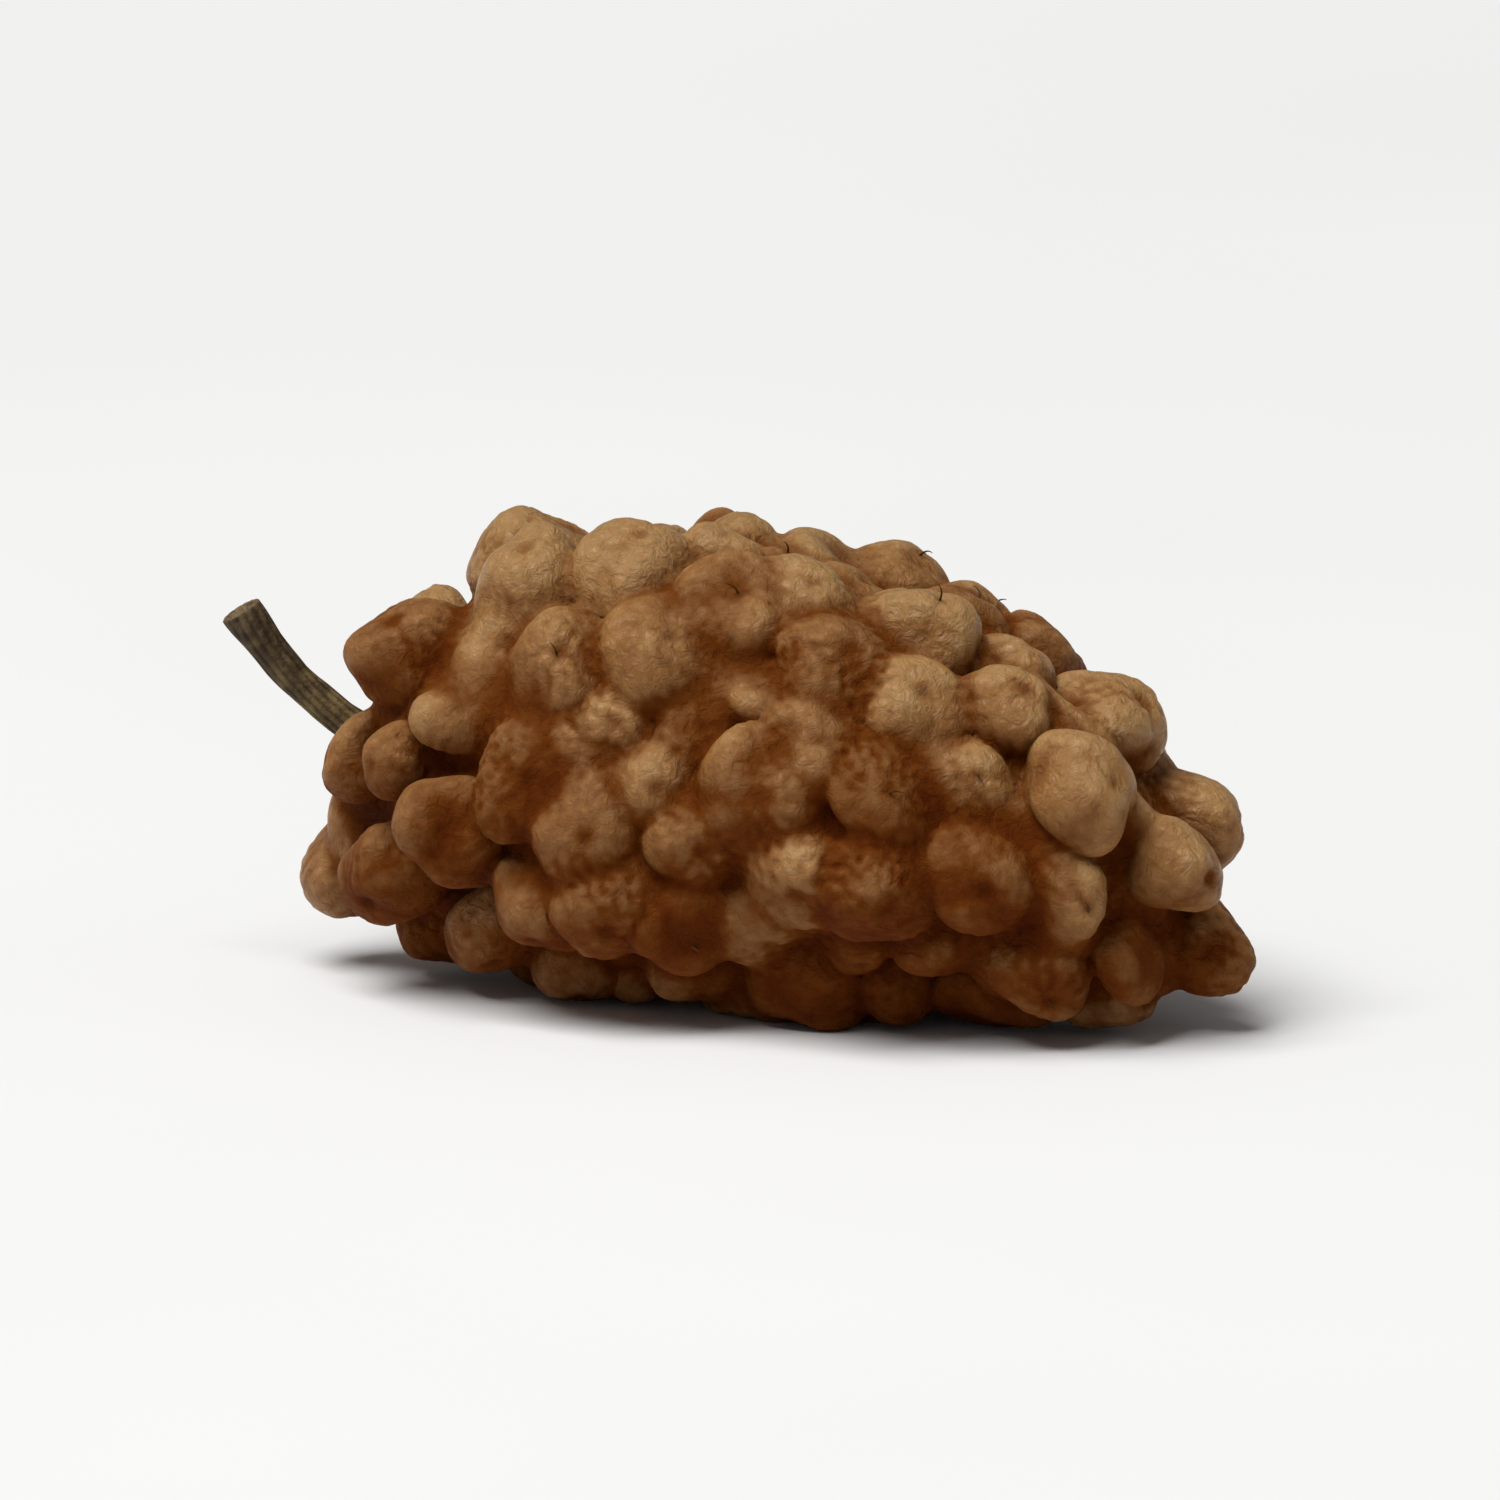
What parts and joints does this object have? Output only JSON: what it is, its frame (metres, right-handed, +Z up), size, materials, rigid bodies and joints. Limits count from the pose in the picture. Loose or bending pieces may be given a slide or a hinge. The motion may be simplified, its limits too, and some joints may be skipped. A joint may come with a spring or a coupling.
{
  "type": "dried mulberry",
  "caption": "Dried white mulberry lying on its side, a stout tapering cluster of shrunken drupelets with a short curved stalk.",
  "frame": {"origin": "under the middle of the whole part, on the surface that the fruit rests on", "axes": "+X along the fruit from its stalk to its tip, +Z up, away from the surface that it lies on"},
  "size_m": [0.0212, 0.011, 0.0097],
  "materials": {
    "dried_skin": "dried fruit skin, amber brown, satin on the drupelets' tops and dull in the creases",
    "stalk": "dry dull olive-brown stalk"
  },
  "bodies": {
    "root": {"fruit": "dried_skin", "stalk": "stalk"}
  },
  "joints": []
}
